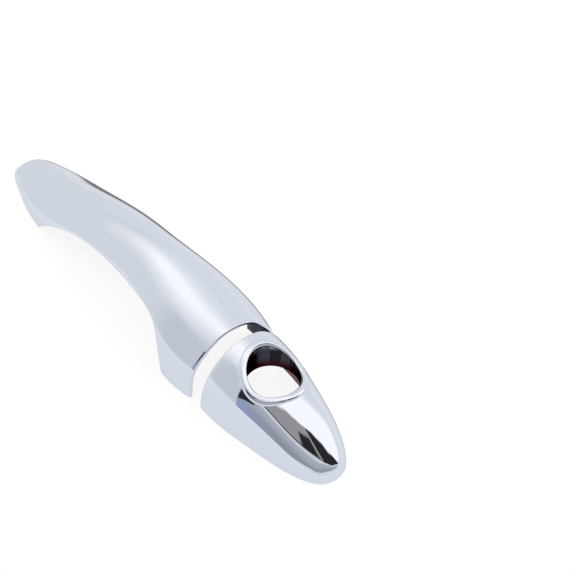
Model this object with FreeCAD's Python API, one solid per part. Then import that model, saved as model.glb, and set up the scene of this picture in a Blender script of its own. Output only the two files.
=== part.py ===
import FreeCAD, Part
import os
from math import cos, hypot, pi, sin

# Car door handle cover: a long grip cover with a finger arch, and a bullet shaped key cap
# that stands a narrow gap behind it. Both are thin plated mouldings, open towards the door,
# and carry strips of foam tape with a release liner inside.
# Millimetres. X runs from the foot of the grip to the nose of the cap, Y across,
# Z away from the door, and the origin is the middle of the base.

# Overall lengths and the moulded wall
grip_length = 184.5
cap_gap = 6.7
cap_length = 58.8
wall = 1.4

# Grip cover: half widths of its control sections, from the foot to the rear edge
foot_tip_half = 9.2
foot_toe_half = 12.1
foot_half = 17.2
foot_heel_half = 20.3
neck_half = 19.1
waist_half = 18.0
peak_half = 17.5
haunch_half = 21.8
flare_half = 25.9
rear_half = 22.0

# Grip cover: ridge heights of the control sections
foot_tip_ridge = 7.2
foot_toe_ridge = 10.8
foot_ridge = 12.2
foot_heel_ridge = 18.2
neck_ridge = 25.5
waist_ridge = 31.0
peak_ridge = 35.1
haunch_ridge = 34.8
flare_ridge = 31.0
rear_ridge = 28.6

# Grip cover: heights where the side wall ends and the crown begins
foot_spring = 5.2
neck_spring = 12.0
waist_spring = 18.2
haunch_spring = 17.4
rear_spring = 9.1

# Grip cover: tuck of the wall under the arch, how far the heel's section stands past the foot,
# and where the haunch and the flare stand before the rear edge
arch_tuck = 1.4
heel_offset = 2.0
haunch_setback = 34.0
flare_setback = 14.0

# Grip cover: places of the toe and the instep along the foot, and the foot's lower walls, as shares
toe_share = 0.24
instep_share = 0.6
tip_wall_share = 0.6
toe_wall_share = 0.9

# Finger arch between the foot and the rear skirt
foot_length = 49.6
skirt_length = 18.4
arch_height = 21.5
arch_lead = 41.3
arch_heel = 6.8

# Roundness of the arch at its front foot, its flat and its rear wall, as shares
arch_toe_share = 0.26
arch_toe_rise_share = 0.43
arch_flat_share = 0.33
arch_swell_share = 1.12
arch_back_share = 0.25
arch_back_rise_share = 0.54

# Key cap: half widths and ridge heights of its control sections, from the front edge to the nose
cap_half = 21.6
cap_shoulder_half = 18.1
cap_waist_half = 15.2
cap_taper_half = 10.7
nose_half = 5.6
cap_ridge = 28.8
cap_shoulder_ridge = 23.7
cap_waist_ridge = 18.6
cap_taper_ridge = 9.9
nose_ridge = 5.0
cap_spring = 3.5

# Key cap: places of its control sections and how far its side wall sinks at the nose, as shares
cap_brow_share = 0.2
cap_shoulder_share = 0.45
cap_waist_share = 0.7
cap_taper_share = 0.9
nose_sink_share = 0.8

# Roundness of the sections: height of the grip's and the cap's shoulders and width of the
# flat top, as shares
grip_shoulder_share = 0.33
cap_rise_share = 0.48
crown_share = 0.37

# Key opening in the cap, its collar and its raised lip
key_bore_radius = 11.0
key_bore_setback = 18.2
collar_wall = 1.4
collar_bottom = 15.6
lip_width = 2.6
lip_rise = 0.9
lip_depth = 1.5

# Foam tape and its release liner
tape_thick = 1.0
liner_thick = 0.3
layer_clear = 0.05
tape_width = 12.0
tape_margin = 4.0
foot_tape_lead = 12.0
foot_tape_length = 30.0
centre_tape_lead = 22.25
centre_tape_gap = 12.65
rear_tape_length = 24.0
nose_tape_gap = 3.2
nose_tape_setback = 10.0
nose_tape_width = 8.0
side_tape_length = 26.0
side_tape_rise = 3.0
side_tape_width = 8.0

cap_start = grip_length + cap_gap
half_total = (cap_start + cap_length) / 2
arch_end = grip_length - skirt_length
bore_x = cap_start + key_bore_setback
spill = 3.0
reach = 60.0
sewing = 1e-4
lip_overlap = 0.2
lip_stations = 24
lip_corners = 8


# A clamped cubic knot vector for a row of poles
def knots_for(count):
    spans = count - 3
    knots = [float(k) for k in range(spans + 1)]
    mults = [4] + [1] * (spans - 1) + [4]
    return knots, mults


# Half of a section's control polygon, from the base rim up to the ridge
def half_polygon(half, rim_half, spring, shoulder, ridge):
    return [(rim_half, 0.0), (half, spring), (half, shoulder), (crown_share * half, ridge), (0.0, ridge)]


# The polygon moved inwards by a distance, each corner along its mitre
def inset_polygon(points, distance):
    normals = []
    for (y0, z0), (y1, z1) in zip(points, points[1:]):
        run = hypot(y1 - y0, z1 - z0)
        normals.append(((z1 - z0) / run, -(y1 - y0) / run))
    before = [normals[0]] + normals
    after = normals + [normals[-1]]
    moved = []
    for (y, z), (ay, az), (by, bz) in zip(points, before, after):
        mitre = distance / (1.0 + ay * by + az * bz)
        moved.append((y - mitre * (ay + by), z - mitre * (az + bz)))
    return moved


# A control section's poles across the part, at one place along it
def section_poles(x, polygon):
    grounded = [(polygon[0][0], 0.0)] + polygon[1:]
    near = [FreeCAD.Vector(x, -y, z) for y, z in grounded]
    far = [FreeCAD.Vector(x, y, z) for y, z in reversed(grounded[:-1])]
    return near + far


# Control sections of the grip: place, half width, rim half width, spring, shoulder and ridge height
def grip_sections():
    heel = foot_length + heel_offset
    haunch = grip_length - haunch_setback
    step = (haunch - heel) / 4
    rows = [
        (0.0, foot_tip_half, 0.0, tip_wall_share * foot_spring, foot_tip_ridge),
        (toe_share * foot_length, foot_toe_half, 0.0, toe_wall_share * foot_spring, foot_toe_ridge),
        (instep_share * foot_length, foot_half, 0.0, foot_spring, foot_ridge),
        (heel, foot_heel_half, 0.0, foot_spring, foot_heel_ridge),
        (heel + step, neck_half, arch_tuck, neck_spring, neck_ridge),
        (heel + 2 * step, waist_half, arch_tuck, waist_spring, waist_ridge),
        (heel + 3 * step, peak_half, arch_tuck, waist_spring, peak_ridge),
        (haunch, haunch_half, arch_tuck, haunch_spring, haunch_ridge),
        (grip_length - flare_setback, flare_half, 0.0, rear_spring, flare_ridge),
        (grip_length, rear_half, 0.0, rear_spring, rear_ridge),
    ]
    sections = []
    for place, half, tuck, spring, ridge in rows:
        shoulder = spring + grip_shoulder_share * (ridge - spring)
        sections.append((place, half, half - tuck, spring, shoulder, ridge))
    return sections


# Control sections of the key cap, from its front edge to the nose
def cap_sections():
    rows = [
        (0.0, cap_half, cap_ridge),
        (cap_brow_share, cap_half, cap_ridge),
        (cap_shoulder_share, cap_shoulder_half, cap_shoulder_ridge),
        (cap_waist_share, cap_waist_half, cap_waist_ridge),
        (cap_taper_share, cap_taper_half, cap_taper_ridge),
        (1.0, nose_half, nose_ridge),
    ]
    sections = []
    for share, half, ridge in rows:
        spring = cap_spring * (1.0 - nose_sink_share * share ** 3)
        shoulder = spring + cap_rise_share * (ridge - spring)
        sections.append((cap_start + share * cap_length, half, half, spring, shoulder, ridge))
    return sections


# Poles of a skin that closes to a point at its tip and is open at its other end
def skin_poles(sections, tip_x, inward, inset):
    tip = tip_x + inward * inset
    grid = [[FreeCAD.Vector(tip, 0, 0)] * 9]
    for x, half, rim_half, spring, shoulder, ridge in sections:
        place = tip if abs(x - tip_x) < inset else x
        polygon = inset_polygon(half_polygon(half, rim_half, spring, shoulder, ridge), inset)
        grid.append(section_poles(place, polygon))
    return grid


# A closed solid under a skin, with its flat end and its flat base
def solid_under(grid):
    skin = Part.BSplineSurface()
    knots_x, mults_x = knots_for(len(grid))
    knots_y, mults_y = knots_for(len(grid[0]))
    skin.buildFromPolesMultsKnots(grid, mults_x, mults_y, knots_x, knots_y, False, False, 3, 3)
    near_rim = skin.vIso(knots_y[0]).toShape()
    far_rim = skin.vIso(knots_y[-1]).toShape()
    end_arc = skin.uIso(knots_x[-1]).toShape()
    chord = Part.makeLine(grid[-1][-1], grid[-1][0])
    end = Part.Face(Part.Wire([end_arc, chord]))
    base = Part.Face(Part.Wire(Part.__sortEdges__([near_rim, chord, far_rim])))
    shell = Part.makeShell([skin.toShape(), end, base])
    shell.sewShape()
    solid = Part.makeSolid(shell)
    solid.fix(sewing, sewing, sewing)
    return solid, end, base


# Body of the grip, shrunk by an inset
def grip_solid(inset):
    return solid_under(skin_poles(grip_sections(), 0.0, 1.0, inset))


# Body of the cap, shrunk by an inset
def cap_solid(inset):
    nose_x = cap_start + cap_length
    return solid_under(skin_poles(list(reversed(cap_sections())), nose_x, -1.0, inset))


# What hollows a moulding out: its shrunk body, run out past the open end and the open base
def hollow(maker, inset, outward):
    body, end, base = maker(inset)
    past_end = end.extrude(FreeCAD.Vector(outward * spill, 0, 0))
    past_base = base.extrude(FreeCAD.Vector(0, 0, -spill))
    return [body, past_end, past_base]


# The gap for fingers, as a prism across the grip
def arch_prism():
    outline = [
        (foot_length, 0.0),
        (foot_length + arch_toe_share * arch_lead, arch_toe_rise_share * arch_height),
        (foot_length + arch_lead, arch_height),
        (arch_end - arch_flat_share * (arch_end - foot_length), arch_height),
        (arch_end - arch_heel, arch_swell_share * arch_height),
        (arch_end - arch_back_share * arch_heel, arch_back_rise_share * arch_height),
        (arch_end, 0.0),
    ]
    poles = [FreeCAD.Vector(x, -reach, z) for x, z in outline]
    knots, mults = knots_for(len(poles))
    curve = Part.BSplineCurve()
    curve.buildFromPolesMultsKnots(poles, mults, knots, False, 3)
    low = FreeCAD.Vector(0, 0, -2 * spill)
    sill = Part.makePolygon([poles[-1], poles[-1] + low, poles[0] + low, poles[0]])
    wire = Part.Wire([curve.toShape()] + sill.Edges)
    return Part.Face(wire).extrude(FreeCAD.Vector(0, 2 * reach, 0))


# The grip cover: a shell with its underside open and the finger arch cut out
def grip_cover():
    body = grip_solid(0.0)[0]
    return body.cut(hollow(grip_solid, wall, 1.0) + [arch_prism()])


# A cylinder on the key opening's axis, from a height up
def bore_cylinder(radius, bottom):
    return Part.makeCylinder(radius, reach, FreeCAD.Vector(bore_x, 0, bottom))


# How far an even ring of cubic poles pulls its curve in, as a share of the poles' radius
def ring_pull(count):
    return 2 / 3 + cos(2 * pi / count) / 3


# Height of a body's surface over a point of the base
def crown_height(body, x, y):
    probe = Part.makeLine(FreeCAD.Vector(x, y, 0), FreeCAD.Vector(x, y, reach))
    return max(point.Z for point in probe.common(body).Vertexes)


# The rounded lip: a bead round the key opening that rides on the crown
def lip_bead(body):
    half_width = lip_width / 2 + lip_overlap
    half_height = (lip_rise + lip_depth) / 2
    centre_radius = key_bore_radius + lip_width / 2
    grid = []
    for turn in range(lip_stations):
        angle = 2 * pi * turn / lip_stations
        x, y = bore_x + centre_radius * cos(angle), centre_radius * sin(angle)
        middle = crown_height(body, x, y) + lip_rise - half_height
        row = []
        for corner in range(lip_corners):
            tilt = 2 * pi * corner / lip_corners
            out = centre_radius / ring_pull(lip_stations) + half_width / ring_pull(lip_corners) * cos(tilt)
            up = middle + half_height / ring_pull(lip_corners) * sin(tilt)
            row.append(FreeCAD.Vector(bore_x + out * cos(angle), out * sin(angle), up))
        grid.append(row)
    around = [float(k) for k in range(lip_stations + 1)]
    across = [float(k) for k in range(lip_corners + 1)]
    bead = Part.BSplineSurface()
    single_around = [1] * len(around)
    single_across = [1] * len(across)
    bead.buildFromPolesMultsKnots(grid, single_around, single_across, around, across, True, True, 3, 3)
    return Part.makeSolid(Part.makeShell([bead.toShape()]))


# The key cap: a shell with a collar round the key opening and a raised, rounded lip
def key_cap():
    body = cap_solid(0.0)[0]
    shell = body.cut(hollow(cap_solid, wall, -1.0))
    collar = bore_cylinder(key_bore_radius + collar_wall, collar_bottom).common(cap_solid(wall / 2)[0])
    return shell.fuse([collar, lip_bead(body)]).cut(bore_cylinder(key_bore_radius, -spill))


# A layer that follows the inside of a moulding: what lies between two insets
def layer(maker, depth, thickness):
    outer = maker(wall + layer_clear + depth)[0]
    inner = maker(wall + layer_clear + depth + thickness)[0]
    return outer.cut(inner)


# A box that trims a layer: start and length along the part, then across it, then upwards
def window(x0, length, y0, width, z0, height):
    return Part.makeBox(length, width, height, FreeCAD.Vector(x0, y0, z0))


# Windows that trim the layers to strips: under the crown, and on each side of the cap
def tape_windows():
    rear_x = grip_length - tape_margin - rear_tape_length
    centre_x = foot_length + centre_tape_lead
    centre_length = rear_x - centre_tape_gap - centre_x
    nose_x = bore_x + key_bore_radius + collar_wall + nose_tape_gap
    nose_length = cap_start + cap_length - nose_tape_setback - nose_x
    side_x = bore_x - side_tape_length / 2
    crown_y = -tape_width / 2
    nose_y = -nose_tape_width / 2
    foot = window(foot_tape_lead, foot_tape_length, crown_y, tape_width, tape_margin, reach)
    centre = window(centre_x, centre_length, crown_y, tape_width, tape_margin, reach)
    rear = window(rear_x, rear_tape_length, crown_y, tape_width, tape_margin, reach)
    nose = window(nose_x, nose_length, nose_y, nose_tape_width, tape_margin, reach)
    near_side = window(side_x, side_tape_length, -reach, reach, side_tape_rise, side_tape_width)
    far_side = window(side_x, side_tape_length, 0.0, reach, side_tape_rise, side_tape_width)
    return {
        "foot": (grip_solid, foot),
        "centre": (grip_solid, centre),
        "rear": (grip_solid, rear),
        "nose": (cap_solid, nose),
        "near_side": (cap_solid, near_side),
        "far_side": (cap_solid, far_side),
    }


# A shape with the middle of the whole part over the origin
def centred(shape):
    moved = shape.copy()
    moved.translate(FreeCAD.Vector(-half_total, 0, 0))
    return moved


nodes = {"grip_cover": grip_cover(), "key_cap": key_cap()}
for name, (body, trim) in tape_windows().items():
    nodes[name + "_tape"] = layer(body, 0.0, tape_thick).common(trim)
    nodes[name + "_liner"] = layer(body, tape_thick + layer_clear, liner_thick).common(trim)

os.makedirs("parts", exist_ok=True)
for name, shape in nodes.items():
    placed = centred(shape)
    placed.exportStep("parts/" + name + ".step")
    box = placed.optimalBoundingBox()
    print(name, placed.isValid(), len(placed.Solids), len(placed.Faces), round(placed.Volume),
          [round(v, 2) for v in (box.XMin, box.XMax, box.YMin, box.YMax, box.ZMin, box.ZMax)])
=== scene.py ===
import math

import bpy
import numpy as np
from mathutils import Matrix, Vector


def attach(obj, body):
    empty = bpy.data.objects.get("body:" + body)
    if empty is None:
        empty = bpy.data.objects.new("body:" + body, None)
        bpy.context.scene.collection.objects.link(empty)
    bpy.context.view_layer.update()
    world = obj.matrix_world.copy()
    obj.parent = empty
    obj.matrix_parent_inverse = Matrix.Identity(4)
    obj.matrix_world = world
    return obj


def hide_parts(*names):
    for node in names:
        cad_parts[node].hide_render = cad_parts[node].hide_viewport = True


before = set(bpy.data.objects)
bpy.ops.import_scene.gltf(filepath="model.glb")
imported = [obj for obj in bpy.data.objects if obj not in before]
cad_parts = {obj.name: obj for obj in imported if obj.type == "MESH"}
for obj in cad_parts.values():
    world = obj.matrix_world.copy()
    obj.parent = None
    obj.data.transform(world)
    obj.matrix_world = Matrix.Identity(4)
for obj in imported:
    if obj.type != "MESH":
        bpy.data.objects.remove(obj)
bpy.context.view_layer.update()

bl_info = {
    "name": "Door Handle Cover",
    "version": (1, 0, 0),
    "blender": (4, 5, 0),
    "location": "3D View > Sidebar > Handle Cover",
    "description": "Builds a plated car door handle cover and its key cap on a pale stage",
    "category": "Object",
}


# Properties

def size(name, description, default):
    return bpy.props.FloatProperty(name=name, description=description, default=default,
                                   unit="LENGTH", precision=5)


def sizes(name, description, default):
    return bpy.props.FloatVectorProperty(name=name, description=description, default=default,
                                         size=len(default), unit="LENGTH", precision=5)


def share(name, description, default, top=1.0):
    return bpy.props.FloatProperty(name=name, description=description, default=default,
                                   min=0.0, max=top, subtype="FACTOR")


def number(name, description, default):
    return bpy.props.FloatProperty(name=name, description=description, default=default)


def count(name, description, default):
    return bpy.props.IntProperty(name=name, description=description, default=default, min=3)


def turn(name, description, default):
    return bpy.props.FloatProperty(name=name, description=description,
                                   default=math.radians(default), subtype="ANGLE")


def colour(name, description, default):
    return bpy.props.FloatVectorProperty(name=name, description=description, default=default,
                                         size=3, min=0.0, max=1.0, subtype="COLOR")


def glare(name, description, default):
    return bpy.props.FloatVectorProperty(name=name, description=description, default=default,
                                         size=3, min=0.0, soft_max=4.0, subtype="COLOR")


class CoverSizes(bpy.types.PropertyGroup):
    """Sizes that the grip cover and the key cap share"""
    grip_length: size("Grip length", "Grip cover from its foot to its rear edge", 0.1845)
    cap_gap: size("Gap", "Clear gap between the grip cover and the key cap", 0.0067)
    cap_length: size("Cap length", "Key cap from its front edge to its nose", 0.0588)
    wall: size("Wall", "Thickness of the mouldings", 0.0014)
    edge: size("Edge rounding", "Rounding of the open rims", 0.0003)
    crown: share("Crown", "Width of every section's flat top", 0.37)


class GripSizes(bpy.types.PropertyGroup):
    """Sizes of the grip cover"""
    halves: sizes("Half widths", "Half widths of the control sections, from foot to rear",
                  (0.0092, 0.0121, 0.0172, 0.0203, 0.0191, 0.018, 0.0175, 0.0218, 0.0259, 0.022))
    ridges: sizes("Ridge heights", "Ridge heights of the control sections, from foot to rear",
                  (0.0072, 0.0108, 0.0122, 0.0182, 0.0255, 0.031, 0.0351, 0.0348, 0.031, 0.0286))
    springs: sizes("Wall heights", "Where the side wall ends: foot, neck, waist, haunch and rear",
                   (0.0052, 0.012, 0.0182, 0.0174, 0.0091))
    shoulder: share("Shoulder", "Height of a section's shoulder in its crown", 0.33)
    arch_tuck: size("Arch tuck", "How far the wall tucks in under the arch", 0.0014)
    heel_offset: size("Heel offset", "Heel section past the end of the foot", 0.002)
    haunch_setback: size("Haunch setback", "Haunch section before the rear edge", 0.034)
    flare_setback: size("Flare setback", "Flare section before the rear edge", 0.014)
    foot_length: size("Foot length", "Foot's rim on the door", 0.0496)
    skirt_length: size("Skirt length", "Rear skirt's rim on the door", 0.0184)
    arch_height: size("Arch height", "Height of the gap for fingers", 0.0215)
    arch_lead: size("Arch lead", "Length over which the arch rises at the foot", 0.0413)
    arch_heel: size("Arch heel", "Length over which the arch drops at the skirt", 0.0068)
    stations: count("Stations", "Sections along the arch", 150)
    columns: count("Columns", "Cells from a rim to the ridge", 54)


class CapSizes(bpy.types.PropertyGroup):
    """Sizes of the key cap"""
    halves: sizes("Half widths", "Half widths of the control sections, from front to nose",
                  (0.0216, 0.0216, 0.0181, 0.0152, 0.0107, 0.0056))
    ridges: sizes("Ridge heights", "Ridge heights of the control sections, from front to nose",
                  (0.0288, 0.0288, 0.0237, 0.0186, 0.0099, 0.005))
    spring: size("Wall height", "Where the side wall ends at the front edge", 0.0035)
    shoulder: share("Shoulder", "Height of a section's shoulder in its crown", 0.48)
    bore_radius: size("Key opening", "Radius of the key opening", 0.011)
    bore_setback: size("Opening setback", "Middle of the opening behind the front edge", 0.0182)
    collar_wall: size("Collar wall", "Thickness of the collar round the opening", 0.0014)
    collar_bottom: size("Collar bottom", "Height of the collar's lower edge", 0.0156)
    lip_width: size("Lip width", "Width of the raised lip", 0.0026)
    lip_rise: size("Lip rise", "Height of the lip over the skin", 0.00085)
    lip_inset: size("Lip inset", "Ledge between the lip and the opening", 0.00025)
    stations: count("Stations", "Sections from the nose to the front edge", 140)
    columns: count("Columns", "Cells from a rim to the ridge", 80)
    turns: count("Lip stations", "Stations round the lip", 200)


class CoverLook(bpy.types.PropertyGroup):
    """Colours and finish of the pieces"""
    plating: colour("Plating", "Colour of the bright plating", (0.63, 0.68, 0.77))
    # Painted shade: the plating's colour is darkened towards this where the surface is seen edge on
    shade: colour("Plating shade", "Plating where it is seen edge on", (0.42, 0.46, 0.54))
    # Painted reflection: a near black edge tint along the edges on the +Y side that turn away from
    # the view
    painted_dark_edge: colour("Plating brink", "Plating along the edges that turn away", (0.09, 0.095, 0.12))
    polish: share("Roughness", "Roughness of the bright plating", 0.04)
    # Duller inside plating, made darker still as painted shade inside the mouldings
    inside: colour("Inside", "Colour of the plating inside the mouldings", (0.12, 0.125, 0.14))
    # Painted dark reflection: the collar's plating is made near black to stand in for the shaded
    # inside that it reflects
    collar: colour("Collar", "Colour of the plating down the key opening", (0.018, 0.018, 0.023))
    # Painted reflection of the red liner, low down in the key opening
    collar_red_reflection: colour("Collar foot", "Colour low down in the key opening", (0.034, 0.009, 0.012))
    # Painted light: lit streaks on the collar just under the lip
    collar_mouth_painted_light: colour("Collar mouth", "Colour of the lit streaks under the lip", (0.42, 0.44, 0.49))
    inside_polish: share("Inside roughness", "Roughness of the plating inside", 0.34)
    foam: colour("Foam tape", "Colour of the foam tape", (0.035, 0.036, 0.04))
    # Painted shade: the liner's red is darkened to stand in for the shade under the cap
    liner: colour("Release liner", "Colour of the release liner", (0.20, 0.007, 0.010))


class StageLook(bpy.types.PropertyGroup):
    """Floor, light and camera"""
    floor: colour("Floor", "Colour of the floor", (0.13, 0.13, 0.13))
    glow: number("Floor glow", "Light that the pale floor gives by itself", 0.89)
    floor_size: size("Floor size", "Width of the floor", 6.0)
    low_wall: colour("Low walls", "Light from the walls near the floor", (0.96, 0.955, 0.94))
    high_wall: colour("High walls", "Light from the upper walls", (0.965, 0.95, 0.93))
    far_wall: colour("Far walls", "Light from the walls across from the camera", (1.0, 0.995, 0.99))
    overhead: glare("Overhead", "Light from the soft white field overhead", (1.44, 1.37, 1.28))
    flag: colour("Grey flag", "Grey flag over the camera", (0.44, 0.41, 0.39))
    black: number("Black flag", "Light from the black flags", 0.028)
    screen: colour("Low screen", "Low grey screen under the camera", (0.40, 0.41, 0.44))
    screen_end: colour("Screen end", "The screen at its bluish left end", (0.42, 0.455, 0.64))
    screen_top: colour("Screen top", "The screen towards its top", (0.60, 0.60, 0.615))
    screen_edge: colour("Screen edge", "Bright band along the screen's top", (0.92, 0.91, 0.90))
    azimuth: turn("Azimuth", "Camera's place round the cover", 44.94)
    elevation: turn("Elevation", "Camera's height over the floor", 41.01)
    roll: turn("Roll", "Camera's roll", 7.45)
    distance: size("Distance", "Camera to the point that it looks at", 0.38085)
    lens: number("Lens", "Focal length in millimetres on a 36 mm sensor", 50.612)
    target: sizes("Target", "Point that the camera looks at", (0.03289, 0.05207, 0.0049))


# Skins, drawn with clamped cubic B-splines

def basis(poles, places):
    """Share of each pole at places from 0 to 1"""
    spans = poles - 3
    knots = np.concatenate([np.zeros(3), np.linspace(0.0, 1.0, spans + 1), np.ones(3)])
    t = np.clip(np.asarray(places, float), 0.0, 1.0 - 1e-12)
    parts = [((t >= a) & (t < b)).astype(float) for a, b in zip(knots, knots[1:])]
    for degree in (1, 2, 3):
        grown = []
        for i in range(len(parts) - 1):
            low = knots[i + degree] - knots[i]
            high = knots[i + degree + 1] - knots[i + 1]
            value = np.zeros_like(t)
            if low > 0:
                value = value + (t - knots[i]) / low * parts[i]
            if high > 0:
                value = value + (knots[i + degree + 1] - t) / high * parts[i + 1]
            grown.append(value)
        parts = grown
    return np.stack(parts, axis=-1)


def half_polygon(crown, half, rim_half, spring, shoulder, ridge):
    """Half of a section's control polygon, from the base rim up to the ridge"""
    return np.array([(rim_half, 0.0), (half, spring), (half, shoulder),
                     (crown * half, ridge), (0.0, ridge)])


def inset_polygon(points, distance):
    """The polygon moved inwards, each corner along its mitre, its rim kept on the floor"""
    steps = np.diff(points, axis=0)
    steps /= np.linalg.norm(steps, axis=1)[:, None]
    normals = np.stack([steps[:, 1], -steps[:, 0]], axis=1)
    before = np.vstack([normals[:1], normals])
    after = np.vstack([normals, normals[-1:]])
    mitre = distance / (1.0 + (before * after).sum(axis=1))
    moved = points - mitre[:, None] * (before + after)
    moved[0, 1] = 0.0
    return moved


class Skin:
    """A skin that closes to a point at its tip; places along it are measured from there"""

    def __init__(self, shared, rows, inset):
        tip = inset
        along = [tip]
        sections = [np.zeros((9, 2))]
        for place, *section in rows:
            polygon = inset_polygon(half_polygon(shared.crown, *section), inset)
            near = polygon * (-1.0, 1.0)
            along.append(tip if place < inset else place)
            sections.append(np.vstack([near, polygon[-2::-1]]))
        self.along = np.array(along)
        self.sections = np.array(sections)
        self.table_u = np.linspace(0.0, 1.0, 4001)
        self.table_a = basis(len(along), self.table_u) @ self.along

    def place(self, u):
        """Place along the skin at a share of its length's knots"""
        return np.interp(u, self.table_u, self.table_a)

    def section(self, along):
        """Control poles of the section at a place along the skin"""
        u = np.interp(along, self.table_a, self.table_u)
        shares = basis(len(self.along), [u])[0]
        return np.tensordot(shares, self.sections, axes=1)

    def heights(self, along, across):
        """Heights of the skin over points of the floor, found by halving steps on each section"""
        u = np.interp(along, self.table_a, self.table_u)
        poles = np.einsum("...i,ijk->...jk", basis(len(self.along), u), self.sections)
        low, high = np.full(np.shape(u), 0.5), np.full(np.shape(u), 0.95)
        for _ in range(40):
            v = (low + high) / 2
            short = np.einsum("...j,...j->...", basis(9, v), poles[..., 0]) < np.abs(across)
            low, high = np.where(short, v, low), np.where(short, high, v)
        return np.einsum("...j,...j->...", basis(9, low), poles[..., 1])


HALF_V = np.linspace(0.0, 0.5, 601)
HALF_BASIS = basis(9, HALF_V)


def half_curve(poles, low, cells, edge):
    """The rim point of half a section, and even points from an edge's width above it to the ridge"""
    curve = HALF_BASIS @ poles
    start = float(np.interp(low, curve[:, 1], HALF_V)) if low > 0 else 0.0
    v = np.concatenate([[start], HALF_V[HALF_V > start + 1e-9]])
    dense = basis(9, v) @ poles
    arc = np.concatenate([[0.0], np.cumsum(np.linalg.norm(np.diff(dense, axis=0), axis=1))])
    first = min(edge, 0.2 * arc[-1])
    places = np.interp(np.linspace(first, arc[-1], cells + 1), arc, v)
    points = basis(9, places) @ poles
    points[-1, 0] = 0.0
    return dense[0], points, first


def bend(a, corner, b, steps):
    """Points of a rounded corner, its ends among them"""
    t = np.linspace(0.0, 1.0, steps + 1)[:, None]
    return (1 - t) ** 2 * a + 2 * t * (1 - t) * corner + t ** 2 * b


def flat_loop(outer, inner, place, inner_place, low, cells, edge):
    """Closed loop of points round the wall at one place: outer skin, far rim, inner skin, near rim"""
    rim_o, out, edge_o = half_curve(outer.section(place), low, cells, edge)
    rim_i, inn, edge_i = half_curve(inner.section(inner_place), low, cells, edge)
    deep = lambda a, p: np.column_stack([np.full(len(p), a), p])
    out, inn = deep(place, out), deep(inner_place, inn)
    corner_o, corner_i = deep(place, rim_o[None])[0], deep(inner_place, rim_i[None])[0]
    gap = corner_i - corner_o
    width = max(float(np.linalg.norm(gap)), 1e-9)
    first = bend(out[0], corner_o, corner_o + gap * min(edge_o / width, 0.4), 3)[1:]
    last = bend(corner_i - gap * min(edge_i / width, 0.4), corner_i, inn[0], 3)[:-1]
    rim = np.vstack([first, last])
    far = np.array([1.0, -1.0, 1.0])
    return np.vstack([out, out[-2::-1] * far, rim * far, inn * far, inn[-2::-1], rim[::-1]])


def shrink(loop, amount):
    """A loop moved into its own wall by an amount"""
    ahead, behind = np.roll(loop, -1, axis=0), np.roll(loop, 1, axis=0)
    step = (ahead - behind)[:, 1:]
    step /= np.maximum(np.linalg.norm(step, axis=1), 1e-12)[:, None]
    y, z = loop[:, 1], loop[:, 2]
    area = 0.5 * float((y * np.roll(z, -1) - np.roll(y, -1) * z).sum())
    inward = np.column_stack([-step[:, 1], step[:, 0]]) * math.copysign(1.0, area)
    moved = loop.copy()
    moved[:, 1:] += inward * amount
    return moved


def shell_loops(outer, inner, places, low, length, wall, edge, cells, blend=0.012):
    """Loops from the tip to the open end, the last ones rounding the end's edges"""
    loops = []
    for place in places:
        lag = wall * max(0.0, 1.0 - place / blend) ** 2
        loops.append(flat_loop(outer, inner, place, place + lag, low(place), cells, edge))
    for step in (1, 2, 3):
        angle = step * math.pi / 6
        place = length - edge * (1.0 - math.sin(angle))
        loop = flat_loop(outer, inner, place, place, low(place), cells, edge)
        loops.append(shrink(loop, edge * (1.0 - math.cos(angle))))
    return np.array(loops)


def shell_faces(loops, cells, hole=None):
    """Faces of a shell and which of them lie inside, with the cells of a hole left out"""
    stations, around = loops.shape[:2]
    index = np.arange(stations * around).reshape(stations, around)
    base = 2 * cells + 7
    faces, inside = [], []

    def add(face, dull):
        faces.append([int(i) for i in face])
        inside.append(dull)

    open_cells = hole if hole is not None else np.zeros((stations - 1, 2 * cells), bool)
    for k in range(stations - 1):
        for i in range(around):
            j = (i + 1) % around
            dull = base <= i < base + 2 * cells
            if i < 2 * cells and open_cells[k, i]:
                continue
            if dull and open_cells[k, 2 * cells - 1 - (i - base)]:
                continue
            add((index[k, i], index[k, j], index[k + 1, j], index[k + 1, i]), dull)
    last = index[-1]
    for i in range(2 * cells):
        add((last[i], last[i + 1], last[base + 2 * cells - i - 1], last[base + 2 * cells - i]), False)
    add(last[2 * cells:base + 1], False)
    add(list(last[base + 2 * cells:]) + [last[0]], False)
    pair = lambda k, i: index[k, base + 2 * cells - i]
    for k, i in zip(*np.nonzero(open_cells)):
        sides = {(k - 1, i): ((k, i), (k, i + 1)), (k + 1, i): ((k + 1, i + 1), (k + 1, i)),
                 (k, i - 1): ((k + 1, i), (k, i)), (k, i + 1): ((k, i + 1), (k + 1, i + 1))}
        for neighbour, (a, b) in sides.items():
            if not open_cells[neighbour]:
                add((index[a], index[b], pair(*b), pair(*a)), True)
    return faces, inside


def weld(points, faces, marks):
    """Merges points that lie in one place and drops the faces that this closes up"""
    keys = np.round(points / 1e-8).astype(np.int64)
    unique, first, where = np.unique(keys, axis=0, return_index=True, return_inverse=True)
    where = where.reshape(-1)
    kept, kept_marks = [], []
    for face, mark in zip(faces, marks):
        ring = [int(where[i]) for i in face]
        ring = [v for n, v in enumerate(ring) if v != ring[n - 1]]
        if len(ring) > 2:
            kept.append(ring)
            kept_marks.append(mark)
    return points[first], kept, kept_marks


def volume(points, faces):
    """Signed volume under a mesh's faces"""
    total = 0.0
    for face in faces:
        a = points[face[0]]
        for b, c in zip(face[1:], face[2:]):
            total += float(np.dot(a, np.cross(points[b], points[c])))
    return total / 6.0


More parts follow.
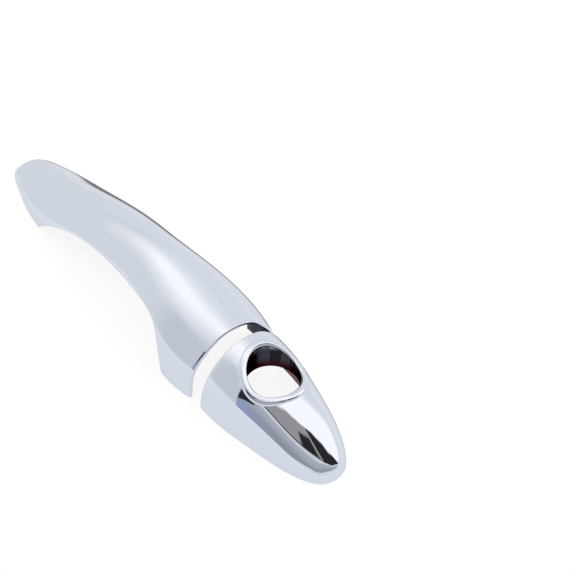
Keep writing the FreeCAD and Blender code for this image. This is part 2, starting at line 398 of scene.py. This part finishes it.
def make_piece(name, points, faces, marks, materials):
    """A smooth mesh object in the frame's place"""
    points, faces, marks = weld(points, faces, marks)
    if volume(points, faces) < 0:
        faces = [face[::-1] for face in faces]
    mesh = bpy.data.meshes.new(name)
    mesh.from_pydata(points.tolist(), [], faces)
    for material in materials:
        mesh.materials.append(material)
    mesh.polygons.foreach_set("use_smooth", [True] * len(faces))
    mesh.polygons.foreach_set("material_index", [int(m) for m in marks])
    mesh.update()
    if mesh.validate():
        raise RuntimeError("the mesh of " + name + " is not sound")
    piece = bpy.data.objects.new(name, mesh)
    bpy.context.scene.collection.objects.link(piece)
    return piece


# The grip cover

def grip_rows(shared, grip):
    """Control sections: place, half width, rim half width, spring, shoulder and ridge height"""
    heel = grip.foot_length + grip.heel_offset
    haunch = shared.grip_length - grip.haunch_setback
    step = (haunch - heel) / 4
    foot, neck, waist, back, rear = grip.springs
    places = [0.0, 0.24 * grip.foot_length, 0.6 * grip.foot_length, heel, heel + step,
              heel + 2 * step, heel + 3 * step, haunch,
              shared.grip_length - grip.flare_setback, shared.grip_length]
    springs = [0.6 * foot, 0.9 * foot, foot, foot, neck, waist, waist, back, rear, rear]
    tucks = [0.0] * 4 + [grip.arch_tuck] * 4 + [0.0, 0.0]
    rows = []
    for place, half, tuck, spring, ridge in zip(places, grip.halves, tucks, springs, grip.ridges):
        shoulder = spring + grip.shoulder * (ridge - spring)
        rows.append((place, half, half - tuck, spring, shoulder, ridge))
    return rows


def arch_curve(shared, grip, places):
    """Points of the finger arch's edge, seen from the side"""
    front, back = grip.foot_length, shared.grip_length - grip.skirt_length
    height = grip.arch_height
    poles = np.array([
        (front, 0.0),
        (front + 0.26 * grip.arch_lead, 0.43 * height),
        (front + grip.arch_lead, height),
        (back - 0.33 * (back - front), height),
        (back - grip.arch_heel, 1.12 * height),
        (back - 0.25 * grip.arch_heel, 0.54 * height),
        (back, 0.0),
    ])
    return basis(len(poles), places) @ poles


def grip_mesh(shared, grip):
    """Points, faces and marks of the inside faces of the grip cover"""
    rows = grip_rows(shared, grip)
    outer, inner = Skin(shared, rows, 0.0), Skin(shared, rows, shared.wall)
    front, back = grip.foot_length, shared.grip_length - grip.skirt_length
    edge = arch_curve(shared, grip, np.linspace(0.0, 1.0, 1201))
    low = lambda a: float(np.interp(a, edge[:, 0], edge[:, 1])) if front < a < back else 0.0
    u_front = float(np.interp(front, outer.table_a, outer.table_u))
    foot = outer.place(np.linspace(0.0, u_front, 72))
    arch = arch_curve(shared, grip, np.linspace(0.0, 1.0, grip.stations))[1:, 0]
    skirt = np.linspace(back, shared.grip_length - shared.edge, 26)[1:]
    places = np.concatenate([foot, arch, skirt])
    loops = shell_loops(outer, inner, places, low, shared.grip_length, shared.wall, shared.edge,
                        grip.columns)
    faces, inside = shell_faces(loops, grip.columns)
    points = loops.reshape(-1, 3)
    half_total = (shared.grip_length + shared.cap_gap + shared.cap_length) / 2
    return points - (half_total, 0.0, 0.0), faces, inside


# The key cap

def cap_rows(shared, cap):
    """Control sections of the cap, from its nose to its front edge"""
    rows = []
    for step, half, ridge in zip((0.0, 0.2, 0.45, 0.7, 0.9, 1.0), cap.halves, cap.ridges):
        spring = cap.spring * (1.0 - 0.8 * step ** 3)
        shoulder = spring + cap.shoulder * (ridge - spring)
        rows.append(((1.0 - step) * shared.cap_length, half, half, spring, shoulder, ridge))
    return rows[::-1]


def lip_mesh(shared, cap, skin):
    """The collar and the raised lip, as one ring whose profile follows the skin"""
    centre = shared.cap_length - cap.bore_setback
    bore, collar = cap.bore_radius, cap.bore_radius + cap.collar_wall
    half = cap.lip_width / 2
    middle = bore + half + cap.lip_inset
    soft, bottom = shared.edge, cap.collar_bottom
    angles = 2 * math.pi * np.arange(cap.turns) / cap.turns
    tilts = np.radians(np.linspace(0.0, 160.0, 15))
    over = np.concatenate([[middle + half], middle + half * np.cos(tilts)])
    lift = np.concatenate([[-2 * soft], cap.lip_rise * np.sin(tilts)])
    lift[1] = -soft / 6

    def skin_at(radius):
        radius = np.broadcast_to(radius, (cap.turns, np.shape(radius)[-1]))
        c, s = np.cos(angles)[:, None], np.sin(angles)[:, None]
        return skin.heights(centre + radius * c, radius * s)

    step = 1e-4
    slope = (skin_at(over + step) - skin_at(over - step)) / (2 * step)
    scale = lift / np.hypot(slope, 1.0)
    radii = [over - slope * scale]
    heights = [skin_at(over) + scale]
    mouth = np.minimum(heights[0][:, -1:] - soft, skin_at(np.array([bore])) + soft / 2)
    corner = np.radians([30.0, 60.0, 90.0])
    foot_corner = corner - corner[0]
    rise = np.linspace(1.0, 0.0, 13)[1:]
    for radius, height in (
            (np.array([bore + soft * 0.4]), mouth),
            (np.array([bore]), mouth - 0.7 * soft),
            (np.full(12, bore), bottom + soft + (mouth - 1.7 * soft - bottom) * rise),
            (bore + soft * (1 - np.cos(corner)), bottom + soft * (1 - np.sin(corner))),
            (collar - soft * (1 - np.sin(foot_corner)), bottom + soft * (1 - np.cos(foot_corner))),
            (np.array([collar]), np.array([bottom + soft])),
            (np.array([collar]), skin_at(np.array([collar])) - 0.6 * shared.wall)):
        radii.append(np.broadcast_to(radius, (cap.turns, np.shape(radius)[-1])))
        heights.append(np.broadcast_to(height, (cap.turns, np.shape(height)[-1])))
    radii, heights = np.hstack(radii), np.hstack(heights)
    rings = np.stack([centre + radii * np.cos(angles)[:, None],
                      radii * np.sin(angles)[:, None], heights], axis=-1)
    around, along = radii.shape
    index = np.arange(around * along).reshape(around, along)
    ahead = np.roll(index, -1, axis=0)
    quads = np.stack([index, np.roll(index, -1, axis=1), np.roll(ahead, -1, axis=1), ahead], axis=-1)
    mouth_at = over.shape[-1] + 1
    marks = np.zeros(along, int)
    marks[mouth_at:] = 1
    marks[mouth_at:mouth_at + len(rise) + 1] = 2
    return rings.reshape(-1, 3), quads.reshape(-1, 4).tolist(), np.tile(marks, around).tolist()


# The skin is cut away under the collar's wall, down to a little below its foot

CUT_SHARE = 0.57
CUT_DEPTH = 0.004


def cap_mesh(shared, cap):
    """Points, faces and marks of the key cap: 0 for bright faces, 1 for inside, 2 for the collar"""
    rows = cap_rows(shared, cap)
    outer, inner = Skin(shared, rows, 0.0), Skin(shared, rows, shared.wall)
    u_end = float(np.interp(shared.cap_length - shared.edge, outer.table_a, outer.table_u))
    places = outer.place(np.linspace(0.0, u_end, cap.stations))
    loops = shell_loops(outer, inner, places, lambda a: 0.0, shared.cap_length, shared.wall,
                        shared.edge, cap.columns)
    centre = shared.cap_length - cap.bore_setback
    base, wide = 2 * cap.columns + 7, 2 * cap.columns
    under = loops[:, base:base + wide + 1][:, ::-1]
    middles = (under[:-1, :-1] + under[1:, :-1] + under[:-1, 1:] + under[1:, 1:]) / 4
    reach = np.hypot(middles[..., 0] - centre, middles[..., 1])
    above = middles[..., 2] > cap.collar_bottom - CUT_DEPTH
    hole = (reach < cap.bore_radius + CUT_SHARE * cap.collar_wall) & above
    faces, marks = shell_faces(loops, cap.columns, hole)
    points = loops.reshape(-1, 3)
    if volume(points, faces) < 0:
        faces = [face[::-1] for face in faces]
    ring, ring_faces, ring_marks = lip_mesh(shared, cap, outer)
    if volume(ring, ring_faces) < 0:
        ring_faces = [face[::-1] for face in ring_faces]
    faces += [[i + len(points) for i in face] for face in ring_faces]
    marks += ring_marks
    points = np.vstack([points, ring])
    half_total = (shared.grip_length + shared.cap_gap + shared.cap_length) / 2
    turned = points * (-1.0, 1.0, 1.0) + (half_total, 0.0, 0.0)
    return turned, faces, marks


# Materials

class Nodes:
    """Adds nodes to a tree and links them"""

    def __init__(self, tree):
        self.tree = tree
        self.tree.nodes.clear()

    def add(self, kind, **settings):
        made = self.tree.nodes.new(kind)
        for key, value in settings.items():
            setattr(made, key, value)
        return made

    def put(self, socket, value):
        if isinstance(value, bpy.types.NodeSocket):
            self.tree.links.new(value, socket)
        else:
            socket.default_value = value

    def math(self, operation, a, b=0.0, c=0.0):
        made = self.add("ShaderNodeMath", operation=operation)
        for socket, value in zip(made.inputs, (a, b, c)):
            self.put(socket, value)
        return made.outputs[0]

    def noise(self, vector, scale, detail=3.0, rough=0.5):
        made = self.add("ShaderNodeTexNoise")
        self.put(made.inputs["Vector"], vector)
        made.inputs["Scale"].default_value = scale
        made.inputs["Detail"].default_value = detail
        made.inputs["Roughness"].default_value = rough
        return made.outputs["Fac"]

    def stretch(self, vector, scale):
        made = self.add("ShaderNodeMapping")
        self.put(made.inputs["Vector"], vector)
        made.inputs["Scale"].default_value = scale
        return made.outputs[0]

    def remap(self, value, low, high, to_low, to_high, smooth=False):
        made = self.add("ShaderNodeMapRange",
                        interpolation_type="SMOOTHSTEP" if smooth else "LINEAR")
        for name, entry in (("Value", value), ("From Min", low), ("From Max", high),
                            ("To Min", to_low), ("To Max", to_high)):
            self.put(made.inputs[name], entry)
        return made.outputs["Result"]

    def mix(self, share_value, a, b):
        made = self.add("ShaderNodeMix", data_type="RGBA")
        self.put(made.inputs["Factor"], share_value)
        self.put(made.inputs[6], a)
        self.put(made.inputs[7], b)
        return made.outputs[2]

    def bump(self, height, distance, strength, before=None):
        made = self.add("ShaderNodeBump")
        self.put(made.inputs["Height"], height)
        made.inputs["Distance"].default_value = distance
        made.inputs["Strength"].default_value = strength
        if before is not None:
            self.put(made.inputs["Normal"], before)
        return made.outputs[0]

    def surface(self, **sockets):
        shader = self.add("ShaderNodeBsdfPrincipled")
        for name, value in sockets.items():
            self.put(shader.inputs[name.replace("_", " ")], value)
        out = self.add("ShaderNodeOutputMaterial")
        self.tree.links.new(shader.outputs[0], out.inputs["Surface"])


def full(rgb):
    return (rgb[0], rgb[1], rgb[2], 1.0)


def new_material(name):
    material = bpy.data.materials.new(name)
    material.use_nodes = True
    nodes = Nodes(material.node_tree)
    place = nodes.add("ShaderNodeTexCoord").outputs["Object"]
    return material, nodes, place


def bright_plating(look):
    """Mirror plating with a faint moulding ripple, a haze and hairline wear, painted shade where it
    is seen edge on and a painted dark reflection along its far edges
    """
    material, nodes, place = new_material("bright_chrome")
    haze = nodes.noise(place, 26.0, 2.0)
    hairs = nodes.noise(nodes.stretch(place, (60.0, 900.0, 900.0)), 1.0, 4.0, 0.6)
    ripple = nodes.noise(nodes.stretch(place, (55.0, 90.0, 90.0)), 1.0, 2.0, 0.45)
    # Painted shade: the plating's colour darkens towards the shade colour where the surface is seen
    # edge on
    facing = nodes.add("ShaderNodeLayerWeight")
    facing.inputs["Blend"].default_value = 0.5
    painted_edge_shade = nodes.remap(facing.outputs["Facing"], 0.55, 0.95, 0.0, 1.0, True)
    tint = nodes.mix(painted_edge_shade, full(look.plating), full(look.shade))
    worn = nodes.remap(haze, 0.3, 0.7, look.polish * 0.8, look.polish * 1.25)
    fine = nodes.remap(hairs, 0.45, 0.75, 0.0, look.polish * 0.4, True)
    normal = nodes.bump(ripple, 0.00003, 0.10)
    # Painted dark reflection: on the +Y side only, where the surface turns away from the view, the
    # edge tint goes near black
    sides = nodes.add("ShaderNodeSeparateXYZ")
    nodes.put(sides.inputs[0], place)
    far = nodes.remap(sides.outputs["Y"], -0.004, 0.004, 0.0, 1.0, True)
    turned_away = nodes.remap(facing.outputs["Facing"], 0.81, 0.89, 0.0, 1.0, True)
    painted_dark_edge = nodes.math("MULTIPLY", far, turned_away)
    nodes.surface(Base_Color=tint, Metallic=1.0, Roughness=nodes.math("ADD", worn, fine),
                  Specular_Tint=nodes.mix(painted_dark_edge, (1.0, 1.0, 1.0, 1.0), full(look.painted_dark_edge)),
                  Normal=normal)
    return material


def inside_plating_painted_shade(look):
    """Duller plating inside a moulding, darkened further as painted shade, mottled where the bath
    reached it less
    """
    material, nodes, place = new_material("inside_chrome_painted_shade")
    cloud = nodes.noise(place, 70.0, 4.0, 0.6)
    grain = nodes.noise(place, 900.0, 3.0)
    dark = tuple(0.6 * v for v in look.inside)
    tint = nodes.mix(nodes.remap(cloud, 0.35, 0.65, 0.0, 1.0, True), full(look.inside), full(dark))
    rough = nodes.remap(cloud, 0.3, 0.7, look.inside_polish * 0.8, look.inside_polish * 1.3)
    normal = nodes.bump(grain, 0.00004, 0.35, nodes.bump(cloud, 0.00015, 0.2))
    nodes.surface(Base_Color=tint, Metallic=1.0, Roughness=rough,
                  Specular_Tint=full(look.inside), Normal=normal)
    return material


# Heights over the floor between which the collar's painted red reflection of the liner fades and its
# painted lit mouth begins

RED_REFLECTION_HEIGHTS = (0.0165, 0.0215)
LIT_HEIGHTS = (0.0245, 0.0275)


def collar_painted_reflection(look):
    """Plating down the key opening, painted near black as a reflection of the shaded inside and
    streaked along it, with a painted red reflection of the liner towards its foot and painted light
    at its mouth
    """
    material, nodes, place = new_material("collar_chrome_painted_reflection")
    streak = nodes.noise(nodes.stretch(place, (420.0, 420.0, 30.0)), 1.0, 3.0, 0.5)
    heights = nodes.add("ShaderNodeSeparateXYZ")
    nodes.put(heights.inputs[0], place)
    rise = heights.outputs["Z"]
    # Painted reflection: the liner's red fades in towards the collar's foot
    foot = nodes.remap(rise, *RED_REFLECTION_HEIGHTS, 1.0, 0.0, True)
    mouth = nodes.remap(rise, *LIT_HEIGHTS, 0.0, 1.0, True)
    tint = nodes.mix(nodes.remap(streak, 0.42, 0.58, 0.0, 1.0, True), full(look.collar),
                     full(tuple(3.0 * v for v in look.collar)))
    tint = nodes.mix(foot, tint, full(look.collar_red_reflection))
    # Painted light: lighter streaks near the collar's mouth
    lit = nodes.math("MULTIPLY", mouth, nodes.remap(streak, 0.44, 0.54, 1.0, 0.15, True))
    tint = nodes.mix(lit, tint, full(look.collar_mouth_painted_light))
    nodes.surface(Base_Color=tint, Metallic=1.0, Roughness=nodes.remap(streak, 0.3, 0.7, 0.12, 0.3),
                  Specular_Tint=full(look.collar))
    return material


def foam_tape(look):
    """Dark foam with open cells along its cut edges"""
    material, nodes, place = new_material("black_foam")
    cells = nodes.add("ShaderNodeTexVoronoi", feature="DISTANCE_TO_EDGE")
    nodes.put(cells.inputs["Vector"], place)
    cells.inputs["Scale"].default_value = 2600.0
    fibre = nodes.noise(place, 300.0, 4.0)
    light = tuple(1.9 * v for v in look.foam)
    tint = nodes.mix(nodes.remap(fibre, 0.35, 0.65, 0.0, 1.0, True), full(look.foam), full(light))
    pores = nodes.remap(cells.outputs["Distance"], 0.0, 0.25, 0.0, 1.0, True)
    normal = nodes.bump(pores, 0.00012, 0.6, nodes.bump(fibre, 0.0002, 0.3))
    nodes.surface(Base_Color=tint, Roughness=nodes.remap(pores, 0.0, 1.0, 0.95, 0.75),
                  Normal=normal)
    return material


def release_film(look):
    """Thin red film, its red darkened as painted shade, with a soft sheen and long faint creases"""
    material, nodes, place = new_material("red_film_painted_shade")
    crease = nodes.noise(nodes.stretch(place, (35.0, 260.0, 120.0)), 1.0, 3.0, 0.55)
    cloud = nodes.noise(place, 120.0, 3.0)
    deep = tuple(0.62 * v for v in look.liner)
    tint = nodes.mix(nodes.remap(cloud, 0.3, 0.7, 0.0, 1.0), full(look.liner), full(deep))
    nodes.surface(Base_Color=tint, Roughness=nodes.remap(crease, 0.35, 0.65, 0.22, 0.42),
                  Coat_Weight=0.1, Coat_Roughness=0.12, Specular_IOR_Level=0.2,
                  Normal=nodes.bump(crease, 0.0003, 0.35))
    return material


def floor_paint(stage):
    """Pale matt floor with the faintest unevenness"""
    material, nodes, place = new_material("pale_floor")
    cloud = nodes.noise(place, 1.5, 3.0)
    grain = nodes.noise(place, 160.0, 2.0)
    dim = tuple(0.985 * v for v in stage.floor)
    tint = nodes.mix(nodes.remap(cloud, 0.3, 0.7, 0.0, 1.0, True), full(stage.floor), full(dim))
    nodes.surface(Base_Color=tint, Roughness=nodes.remap(grain, 0.3, 0.7, 0.75, 0.9),
                  Emission_Color=(1.0, 1.0, 1.0, 1.0), Emission_Strength=stage.glow,
                  Specular_IOR_Level=0.1, Normal=nodes.bump(grain, 0.0001, 0.05))
    return material


def material_of(name, maker, look):
    return bpy.data.materials.get(name) or maker(look)


# Operators

def settings(context):
    scene = context.scene
    return scene.cover_sizes, scene.grip_sizes, scene.cap_sizes, scene.cover_look, scene.stage_look


def place_piece(piece, node):
    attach(piece, "root")
    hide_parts(node)


class OBJECT_OT_grip_cover(bpy.types.Operator):
    """Build the long grip cover with its finger arch"""
    bl_idname = "object.handle_grip_cover"
    bl_label = "Grip Cover"

    def execute(self, context):
        shared, grip, _, look, _ = settings(context)
        points, faces, inside = grip_mesh(shared, grip)
        materials = [material_of("bright_chrome", bright_plating, look),
                     material_of("inside_chrome_painted_shade", inside_plating_painted_shade, look)]
        piece = make_piece("plated_grip", points, faces, inside, materials)
        place_piece(piece, "grip_cover")
        return {"FINISHED"}


class OBJECT_OT_key_cap(bpy.types.Operator):
    """Build the bullet shaped cap with its key opening"""
    bl_idname = "object.handle_key_cap"
    bl_label = "Key Cap"

    def execute(self, context):
        shared, _, cap, look, _ = settings(context)
        points, faces, marks = cap_mesh(shared, cap)
        materials = [material_of("bright_chrome", bright_plating, look),
                     material_of("inside_chrome_painted_shade", inside_plating_painted_shade, look),
                     material_of("collar_chrome_painted_reflection", collar_painted_reflection, look)]
        piece = make_piece("plated_cap", points, faces, marks, materials)
        place_piece(piece, "key_cap")
        return {"FINISHED"}


class OBJECT_OT_tape_strips(bpy.types.Operator):
    """Finish the foam tape strips and their release liners"""
    bl_idname = "object.handle_tape_strips"
    bl_label = "Tape Strips"

    def execute(self, context):
        look = context.scene.cover_look
        for name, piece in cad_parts.items():
            if name.endswith("_tape"):
                material, slot = material_of("black_foam", foam_tape, look), "foam_tape"
            elif name.endswith("_liner"):
                material, slot = material_of("red_film_painted_shade", release_film, look), "release_film"
            else:
                continue
            piece.data.materials.clear()
            piece.data.materials.append(material)
        return {"FINISHED"}


# Outlines in the studio light: azimuth from the -Y side and elevation, in degrees

SCREEN_FOOT = ((-12.0, 0.0), (16.0, 0.0), (43.0, 12.0), (83.0, 11.0), (119.0, 0.0))
SCREEN_TOP = ((-12.0, 36.5), (80.0, 36.5), (99.0, 30.0), (120.0, 14.0), (134.0, 2.0))
FLAG_TOP = ((0.0, 44.0), (8.0, 50.0), (17.0, 56.0), (24.0, 61.0), (31.0, 64.0), (57.0, 65.0),
            (82.0, 61.0), (98.0, 57.0), (110.0, 52.0), (117.0, 45.0), (124.0, 39.0), (134.0, 5.0))
NOOK_FOOT = ((-10.0, 13.0), (-5.0, 19.0), (1.0, 24.0), (5.0, 36.5))

# Fields in the studio light: left, right, bottom, top and the softness of both, in degrees

DIM_FIELD = (-34.0, -6.0, 2.0, 42.0, 8.0, 5.0)
DIM_LEVEL = 0.81
BLACK_FIELD = (46.0, 80.0, 30.0, 51.0, 3.0, 2.0)

# The white field overhead: azimuth from the X side, elevation, outer and inner radius, in degrees

OVERHEAD_CONE = (192.0, 60.0, 38.0, 12.0)


def studio_world(stage):
    """Soft studio: pale walls, a white field overhead, and grey and black flags by the camera"""
    world = bpy.data.worlds.new("soft_studio")
    world.use_nodes = True
    nodes = Nodes(world.node_tree)
    toward = nodes.add("ShaderNodeTexCoord").outputs["Generated"]
    parts = nodes.add("ShaderNodeSeparateXYZ")
    nodes.put(parts.inputs[0], toward)
    x, y, z = parts.outputs
    rise = nodes.math("DEGREES", nodes.math("ARCSINE", z))
    side = nodes.math("DEGREES", nodes.math("ARCTAN2", x, nodes.math("MULTIPLY", y, -1.0)))

    def grey(level):
        return (level, level, level, 1.0)

    def ramp(value, low, high):
        return nodes.remap(value, low, high, 0.0, 1.0, True)

    def field(left, right, bottom, top, soft_side, soft_rise):
        """Share of a field of azimuths, from the -Y side, and of elevations"""
        across = nodes.math("MULTIPLY", ramp(side, left - soft_side, left + soft_side),
                            ramp(side, right + soft_side, right - soft_side))
        upward = nodes.math("MULTIPLY", ramp(rise, bottom - soft_rise, bottom + soft_rise),
                            ramp(rise, top + soft_rise, top - soft_rise))
        return nodes.math("MULTIPLY", across, upward)

    def cone(azimuth, elevation, outer, inner):
        """Share of a soft round field about a direction"""
        a, e = math.radians(azimuth), math.radians(elevation)
        axis = nodes.add("ShaderNodeVectorMath", operation="DOT_PRODUCT")
        nodes.put(axis.inputs[0], toward)
        flat = math.cos(e)
        axis.inputs[1].default_value = (math.cos(a) * flat, math.sin(a) * flat, math.sin(e))
        angle = nodes.math("DEGREES", nodes.math("ARCCOSINE", axis.outputs["Value"]))
        return nodes.remap(angle, outer, inner, 0.0, 1.0)

    def outline(stops):
        """Elevation of a flag's edge at each azimuth, straight from stop to stop"""
        left, right = stops[0][0], stops[-1][0]
        curve = nodes.add("ShaderNodeValToRGB")
        nodes.put(curve.inputs[0], nodes.remap(side, left, right, 0.0, 1.0))
        elements = curve.color_ramp.elements
        while len(elements) < len(stops):
            elements.new(0.5)
        for element, (place, height) in zip(elements, stops):
            element.position = (place - left) / (right - left)
            element.color = grey((height + 90.0) / 180.0)
        return nodes.math("SUBTRACT", nodes.math("MULTIPLY", curve.outputs["Color"], 180.0), 90.0)

    def between(bottom, top, soft):
        """Share of the directions that rise between two outlines"""
        over = ramp(nodes.math("SUBTRACT", rise, bottom), -soft, soft)
        under = ramp(nodes.math("SUBTRACT", top, rise), -soft, soft)
        return nodes.math("MULTIPLY", over, under)

    tint = nodes.mix(ramp(rise, 10.0, 38.0), full(stage.low_wall), full(stage.high_wall))
    away = ramp(nodes.math("ABSOLUTE", side), 105.0, 140.0)
    tint = nodes.mix(away, tint, full(stage.far_wall))
    white = nodes.math("MAXIMUM", cone(*OVERHEAD_CONE), ramp(rise, 62.0, 76.0))
    tint = nodes.mix(white, tint, full(stage.overhead))
    tint = nodes.mix(field(*DIM_FIELD), tint, grey(DIM_LEVEL))
    foot = outline(SCREEN_FOOT)
    edge = outline(SCREEN_TOP)
    head = outline(FLAG_TOP)
    nook = outline(NOOK_FOOT)
    over_flag = ramp(nodes.math("SUBTRACT", rise, head), 0.0, 3.0)
    beyond = nodes.math("MULTIPLY", over_flag, ramp(side, -2.0, 3.0))
    beyond = nodes.math("MULTIPLY", beyond, ramp(side, 177.0, 160.0))
    tint = nodes.mix(beyond, tint, full(stage.overhead))
    low = nodes.math("SUBTRACT", edge, 5.0)
    glow = nodes.remap(nodes.math("SUBTRACT", rise, low), -20.0, 0.0, 0.0, 1.0, True)
    bright = nodes.remap(nodes.math("SUBTRACT", rise, low), 0.0, 2.0, 0.0, 1.0, True)
    panel = nodes.mix(ramp(side, -8.0, 8.0), full(stage.screen_end), full(stage.screen))
    panel = nodes.mix(glow, panel, full(stage.screen_top))
    panel = nodes.mix(bright, panel, full(stage.screen_edge))
    lit = nodes.math("MULTIPLY", between(foot, edge, 0.7), ramp(side, -10.2, -9.0))
    lit = nodes.math("MULTIPLY", lit, ramp(side, 130.0, 122.0))
    tint = nodes.mix(lit, tint, panel)
    flag = nodes.math("MULTIPLY", between(edge, head, 1.0), ramp(side, 0.0, 2.0))
    flag = nodes.math("MULTIPLY", flag, ramp(side, 135.0, 131.0))
    tint = nodes.mix(flag, tint, full(stage.flag))
    dark = nodes.math("MAXIMUM", field(*BLACK_FIELD), ramp(side, 86.0, 90.0))
    line = nodes.math("ADD", edge, 2.0)
    dark = nodes.math("MAXIMUM", dark, ramp(rise, line, nodes.math("SUBTRACT", line, 0.6)))
    tint = nodes.mix(nodes.math("MULTIPLY", dark, flag), tint, grey(stage.black))
    dark = nodes.math("MULTIPLY", between(nook, edge, 0.7), ramp(side, -10.0, -9.0))
    dark = nodes.math("MULTIPLY", dark, ramp(side, 5.0, 4.0))
    tint = nodes.mix(dark, tint, grey(stage.black))
    back = nodes.add("ShaderNodeBackground")
    nodes.put(back.inputs["Color"], tint)
    out = nodes.add("ShaderNodeOutputWorld")
    world.node_tree.links.new(back.outputs[0], out.inputs["Surface"])
    return world


class OBJECT_OT_handle_stage(bpy.types.Operator):
    """Set up the pale floor, the soft light and the camera"""
    bl_idname = "object.handle_stage"
    bl_label = "Stage"

    def execute(self, context):
        stage = context.scene.stage_look
        half = stage.floor_size / 2
        mesh = bpy.data.meshes.new("floor")
        drop = -0.0001
        corners = [(-half, -half, drop), (half, -half, drop), (half, half, drop), (-half, half, drop)]
        mesh.from_pydata(corners, [], [(0, 1, 2, 3)])
        mesh.materials.append(floor_paint(stage))
        floor = bpy.data.objects.new("floor", mesh)
        context.scene.collection.objects.link(floor)
        context.scene.world = studio_world(stage)
        context.scene.view_settings.view_transform = "Standard"
        lens = bpy.data.cameras.new("camera")
        lens.sensor_width = 36.0
        lens.lens = stage.lens
        lens.clip_start = 0.01
        lens.clip_end = 20.0
        camera = bpy.data.objects.new("camera", lens)
        a, e, r = stage.azimuth, stage.elevation, stage.roll
        back = Vector((math.sin(a) * math.cos(e), -math.cos(a) * math.cos(e), math.sin(e)))
        right = Vector((math.cos(a), math.sin(a), 0.0))
        above = back.cross(right)
        x_axis = right * math.cos(r) + above * math.sin(r)
        y_axis = above * math.cos(r) - right * math.sin(r)
        turned = Matrix((x_axis, y_axis, back)).transposed()
        place = Vector(stage.target) + back * stage.distance
        camera.matrix_world = Matrix.Translation(place) @ turned.to_4x4()
        context.scene.collection.objects.link(camera)
        context.scene.camera = camera
        return {"FINISHED"}


OPERATORS = (OBJECT_OT_grip_cover, OBJECT_OT_key_cap, OBJECT_OT_tape_strips, OBJECT_OT_handle_stage)


class VIEW3D_PT_handle_cover(bpy.types.Panel):
    """Lists the pieces of the handle cover"""
    bl_idname = "VIEW3D_PT_handle_cover"
    bl_label = "Handle Cover"
    bl_space_type = "VIEW_3D"
    bl_region_type = "UI"
    bl_category = "Handle Cover"

    def draw(self, context):
        for operator in OPERATORS:
            self.layout.operator(operator.bl_idname)
        for group in settings(context):
            box = self.layout.box()
            for name in group.bl_rna.properties.keys():
                if name not in ("rna_type", "name"):
                    box.prop(group, name)


GROUPS = {"cover_sizes": CoverSizes, "grip_sizes": GripSizes, "cap_sizes": CapSizes,
          "cover_look": CoverLook, "stage_look": StageLook}


def register():
    for group in GROUPS.values():
        bpy.utils.register_class(group)
    for name, group in GROUPS.items():
        setattr(bpy.types.Scene, name, bpy.props.PointerProperty(type=group))
    for operator in OPERATORS:
        bpy.utils.register_class(operator)
    bpy.utils.register_class(VIEW3D_PT_handle_cover)


def unregister():
    bpy.utils.unregister_class(VIEW3D_PT_handle_cover)
    for operator in reversed(OPERATORS):
        bpy.utils.unregister_class(operator)
    for name, group in GROUPS.items():
        delattr(bpy.types.Scene, name)
        bpy.utils.unregister_class(group)


def main():
    register()
    bpy.ops.object.handle_grip_cover()
    bpy.ops.object.handle_key_cap()
    bpy.ops.object.handle_tape_strips()
    bpy.ops.object.handle_stage()
    bpy.context.view_layer.update()


if __name__ == "__main__":
    main()
